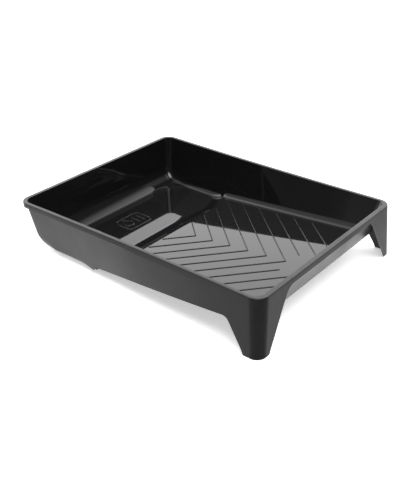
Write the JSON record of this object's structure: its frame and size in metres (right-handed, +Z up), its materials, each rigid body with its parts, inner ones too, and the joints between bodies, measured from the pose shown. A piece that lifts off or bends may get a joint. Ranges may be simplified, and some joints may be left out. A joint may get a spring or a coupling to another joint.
{
  "type": "paint roller tray",
  "caption": "One-piece plastic tray with a deep paint well, a ribbed roll-off ramp, a raised rim and two corner legs.",
  "frame": {"origin": "middle of the bounding box, on the surface that the tray stands on", "axes": "+X from the well end towards the legs at the ramp end, +Y across the tray, +Z up"},
  "size_m": [0.3664, 0.2884, 0.0695],
  "materials": {
    "black_polypropylene": "black moulded polypropylene, polished inside and satin outside"
  },
  "bodies": {
    "root": {"tray": "black_polypropylene"}
  },
  "joints": []
}
